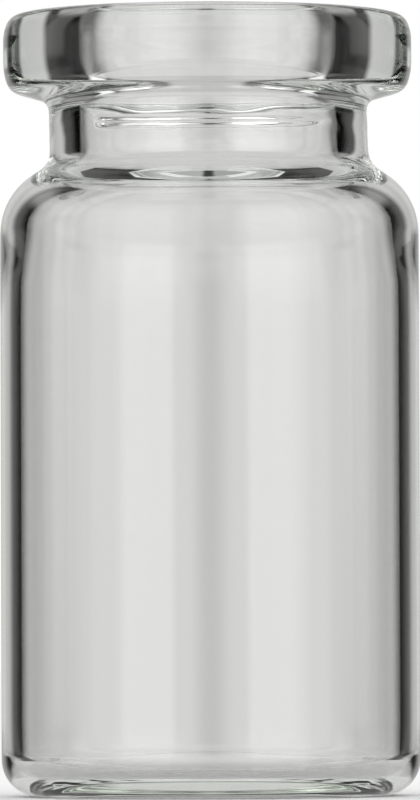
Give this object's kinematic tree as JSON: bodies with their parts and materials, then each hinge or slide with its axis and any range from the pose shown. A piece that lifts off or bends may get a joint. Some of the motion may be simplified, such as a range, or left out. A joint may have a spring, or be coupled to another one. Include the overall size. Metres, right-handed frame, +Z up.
{
  "type": "crimp-neck glass sample vial",
  "caption": "Clear glass vial with a flat bottom, a straight body, a short neck and a thick flat crown for a crimp cap and stopper.",
  "frame": {"origin": "on the axis, in the plane of the ring that the vial stands on", "axes": "+Z up the axis, out of the mouth; the vial is round, so +X and +Y are free"},
  "size_m": [0.0205, 0.0204, 0.0383],
  "materials": {
    "glass": "clear, fire-polished, with a trace of green in thick sections"
  },
  "bodies": {
    "root": {"glass_vial": "glass"}
  },
  "joints": []
}
